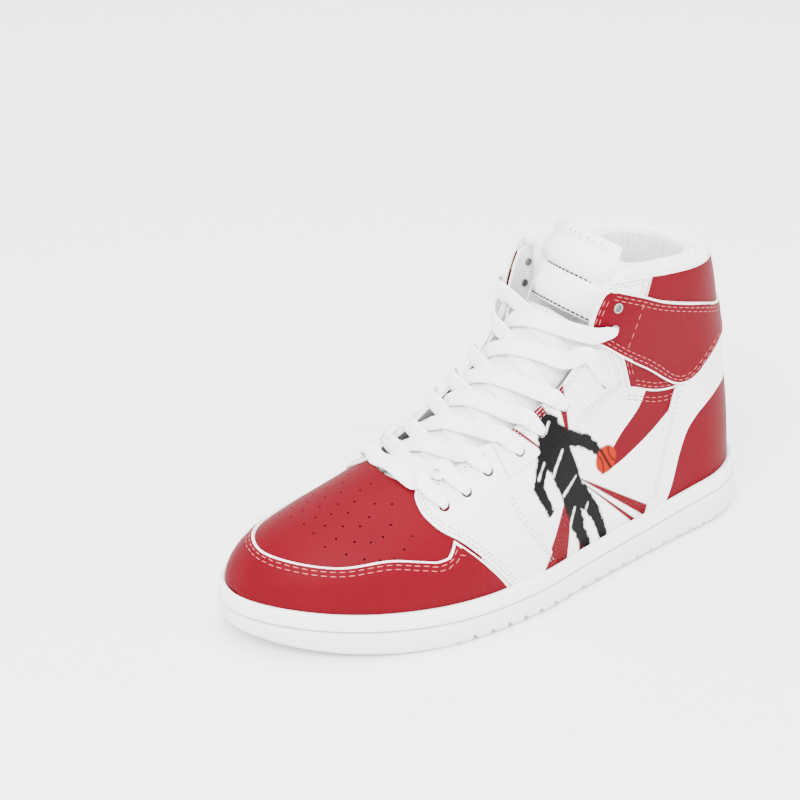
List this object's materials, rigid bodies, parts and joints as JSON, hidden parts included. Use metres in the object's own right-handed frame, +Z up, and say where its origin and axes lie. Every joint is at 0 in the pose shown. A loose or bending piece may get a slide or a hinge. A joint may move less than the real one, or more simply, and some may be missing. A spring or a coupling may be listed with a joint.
{
  "type": "basketball high top shoe",
  "caption": "High-top basketball shoe for the left foot with a cupsole, layered leather panels, padded collar and tongue, ankle strap and flat laces.",
  "frame": {"origin": "centre of the shoe's bounding box, on the ground plane under the sole", "axes": "+Z up, +Y from toe to heel along the shoe's length, +X towards the outer (lateral) side of the left foot"},
  "size_m": [0.1108, 0.3, 0.171],
  "materials": {
    "white_leather": "smooth coated leather, satin",
    "red_leather": "smooth coated leather, satin",
    "sole_rubber": "moulded, lightly textured, matte",
    "foxing_rubber": "moulded, smooth satin",
    "sole_foam": "foamed, matte",
    "padding_foam": "open cell foam, matte",
    "stiffener": "thermoplastic board, matte",
    "board": "stitched fibre board, matte",
    "sock_fabric": "brushed textile, matte",
    "lining_mesh": "knitted mesh, matte",
    "lace_cotton": "flat woven cotton, matte",
    "grommet_metal": "satin plated"
  },
  "bodies": {
    "root": {"outsole": "sole_rubber", "foxing_band": "foxing_rubber", "midsole_core": "sole_foam", "heel_cushion": "sole_foam", "strobel_board": "board", "toe_box": "red_leather", "toe_puff": "stiffener", "vamp_lining": "lining_mesh", "mudguard": "red_leather", "heel_overlay": "red_leather", "heel_counter": "stiffener", "ankle_panel": "red_leather", "ankle_strap": "red_leather", "collar_panel": "red_leather", "collar_foam": "padding_foam", "quarter_lining": "lining_mesh", "collar_roll": "lining_mesh", "quarter_lateral": "white_leather", "quarter_medial": "white_leather", "eyestay_lateral": "white_leather", "eyestay_medial": "white_leather", "forefoot_panel_lateral": "white_leather", "forefoot_panel_medial": "white_leather", "collar_front_lateral": "white_leather", "collar_front_medial": "white_leather", "grommet_lateral_lower": "grommet_metal", "grommet_lateral_upper": "grommet_metal", "grommet_medial_lower": "grommet_metal", "grommet_medial_upper": "grommet_metal", "tongue_face": "white_leather", "tongue_foam": "padding_foam", "tongue_lining": "lining_mesh", "lace_bar": "lace_cotton", "lace_to_lateral_1": "lace_cotton", "lace_to_lateral_2": "lace_cotton", "lace_to_lateral_3": "lace_cotton", "lace_to_lateral_4": "lace_cotton", "lace_to_lateral_5": "lace_cotton", "lace_to_lateral_6": "lace_cotton", "lace_to_lateral_7": "lace_cotton", "lace_to_medial_1": "lace_cotton", "lace_to_medial_2": "lace_cotton", "lace_to_medial_3": "lace_cotton", "lace_to_medial_4": "lace_cotton", "lace_to_medial_5": "lace_cotton", "lace_to_medial_6": "lace_cotton", "lace_to_medial_7": "lace_cotton"},
    "tongue_top": {"tongue_top_face": "white_leather", "tongue_top_foam": "padding_foam", "tongue_top_lining": "lining_mesh"},
    "insole": {"insole": "sock_fabric"}
  },
  "joints": [
    {"name": "tongue_fold", "type": "hinge", "parent": "root", "child": "tongue_top", "pos_m": [0, 0.02805, 0.13541], "axis": [1, 0, 0], "range_deg": [-5, 35], "stiffness_Nm_per_rad": 0.08},
    {"name": "insole_lift", "type": "hinge", "parent": "root", "child": "insole", "pos_m": [0, -0.1389, 0.018], "axis": [1, 0, 0], "range_deg": [0, 2]}
  ]
}
